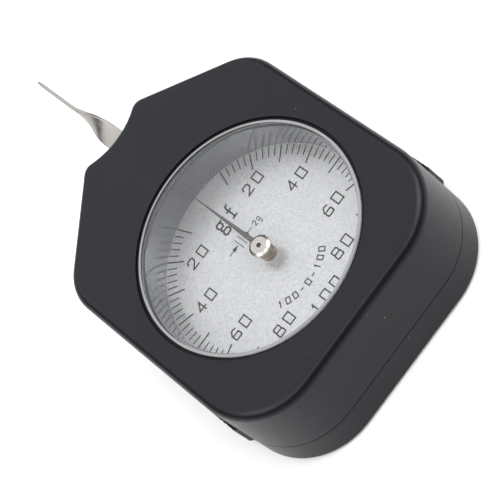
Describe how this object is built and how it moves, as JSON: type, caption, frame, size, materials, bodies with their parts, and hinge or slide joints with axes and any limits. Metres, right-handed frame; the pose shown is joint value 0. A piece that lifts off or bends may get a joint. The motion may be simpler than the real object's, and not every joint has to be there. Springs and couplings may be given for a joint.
{
  "type": "dial tension gauge",
  "caption": "Hand-held dial gauge for light tension: a charcoal case with a round silver dial under a clear crystal, and a twisted feeler lever that turns the pointer both ways.",
  "frame": {"origin": "on the dial's axis, at the flat back face of the rear case", "axes": "+Z out of the dial towards the reader, +Y along the feeler lever, +X to the reader's right"},
  "size_m": [0.0612, 0.1092, 0.0234],
  "materials": {
    "case_plastic": "satin charcoal moulding",
    "grip_plastic": "ribbed, matte",
    "screw_steel": "blackened heads",
    "crystal_clear": "polished clear",
    "gasket_rubber": "matte black",
    "well_plastic": "glossy dark grey",
    "dial_metal": "fine-grained silver",
    "dial_ink": "printed dark grey",
    "plate_brass": "satin",
    "arbor_steel": "polished",
    "spring_steel": "blued grey",
    "lever_steel": "brushed along its length",
    "nickel": "turned nickel plate",
    "pointer_paint": "matte dark grey"
  },
  "bodies": {
    "case": {"front_case": "case_plastic", "rear_case": "case_plastic", "side_grip_left": "grip_plastic", "side_grip_right": "grip_plastic", "case_screws": "screw_steel", "crystal": "crystal_clear", "crystal_gasket": "gasket_rubber", "dial_well_ring": "well_plastic", "dial_plate": "dial_metal", "dial_feet": "plate_brass", "dial_graduations": "dial_ink", "dial_numerals": "dial_ink", "dial_unit_marks": "dial_ink", "movement_front_plate": "plate_brass", "movement_rear_plate": "plate_brass", "movement_pillars": "plate_brass", "plate_screws": "arbor_steel", "arbor_bushes": "plate_brass", "stop_pins": "arbor_steel", "measuring_spring": "spring_steel", "measuring_spring_stud": "plate_brass", "hairspring": "spring_steel", "hairspring_stud": "plate_brass"},
    "lever": {"feeler_lever": "lever_steel", "lever_spacer": "arbor_steel", "lever_hub": "plate_brass", "lever_rivets": "arbor_steel", "lever_arbor": "arbor_steel", "sector_gear": "plate_brass", "measuring_spring_collet": "plate_brass"},
    "pointer_assembly": {"pinion_arbor": "arbor_steel", "drive_pinion": "arbor_steel", "hairspring_collet": "plate_brass", "pointer_bush": "nickel", "pointer": "pointer_paint", "pointer_hub": "nickel"}
  },
  "joints": [
    {"name": "lever_swing", "type": "hinge", "parent": "case", "child": "lever", "pos_m": [0, 0.02925, 0], "axis": [0, 0, 1], "range_deg": [-15, 15], "stiffness_Nm_per_rad": 0.184, "deforming": ["measuring_spring"]},
    {"name": "pointer_spin", "type": "hinge", "parent": "case", "child": "pointer_assembly", "pos_m": [0, 0, 0], "axis": [0, 0, 1], "range_deg": [-180, 180], "deforming": ["hairspring"]}
  ],
  "couplings": [
    {"joint": "pointer_spin", "follows": "lever_swing", "ratio": -12}
  ]
}
